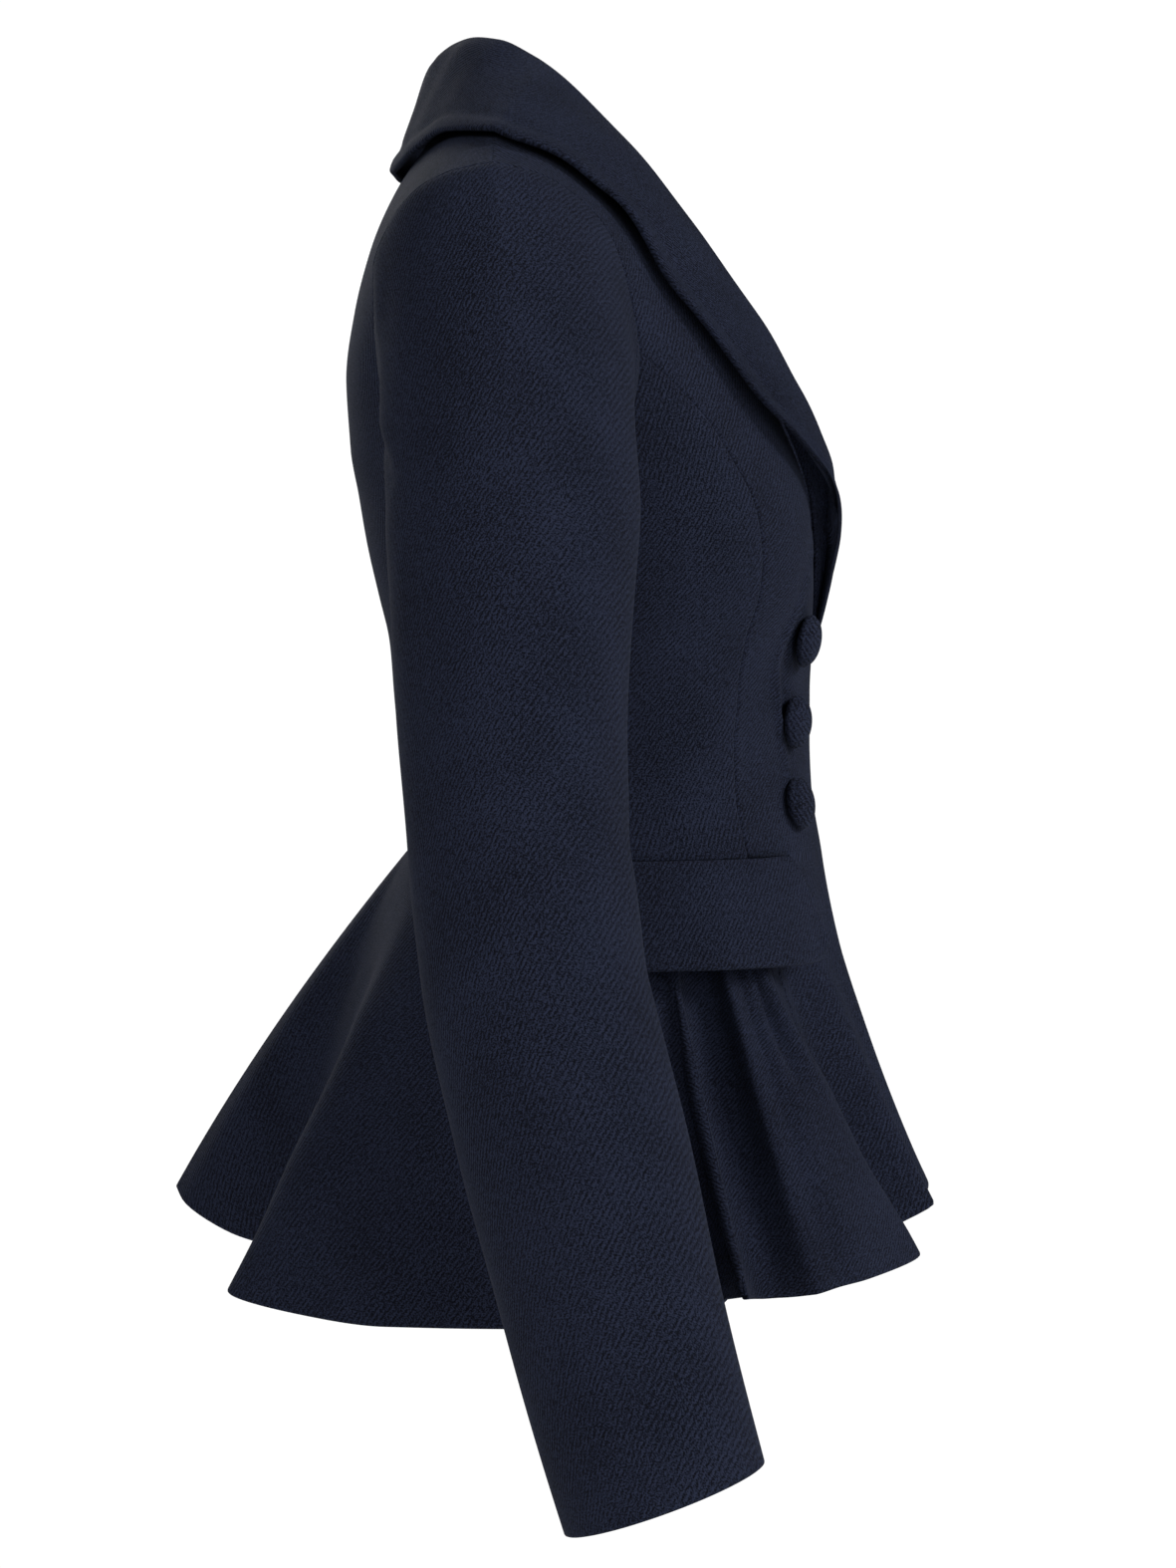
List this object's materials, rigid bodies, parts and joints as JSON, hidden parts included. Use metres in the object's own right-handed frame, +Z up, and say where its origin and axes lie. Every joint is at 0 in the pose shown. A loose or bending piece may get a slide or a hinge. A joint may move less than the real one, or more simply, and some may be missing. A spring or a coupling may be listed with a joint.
{
  "type": "peplum jacket",
  "caption": "Fitted wool jacket with a wide shawl collar, long plain sleeves, covered buttons, hip flaps and a fluted peplum.",
  "frame": {"origin": "midway between the neck ends of the two shoulder seams, where the jacket rests on the wearer", "axes": "+Z up, -Y to the front of the jacket, +X to the wearer's left"},
  "size_m": [0.63, 0.3637, 0.6673],
  "materials": {
    "wool_twill": "dark navy wool twill with a short matt nap",
    "covered_button": "the same navy cloth drawn over a domed button"
  },
  "bodies": {
    "root": {"front_right": "wool_twill", "side_front_right": "wool_twill", "side_back_right": "wool_twill", "peplum_right": "wool_twill", "flap_right": "wool_twill", "sleeve_top_right": "wool_twill", "sleeve_under_right": "wool_twill", "front_left": "wool_twill", "side_front_left": "wool_twill", "side_back_left": "wool_twill", "peplum_left": "wool_twill", "flap_left": "wool_twill", "sleeve_top_left": "wool_twill", "sleeve_under_left": "wool_twill", "back": "wool_twill", "collar": "wool_twill", "button_1": "covered_button", "button_2": "covered_button", "button_3": "covered_button"}
  },
  "joints": []
}
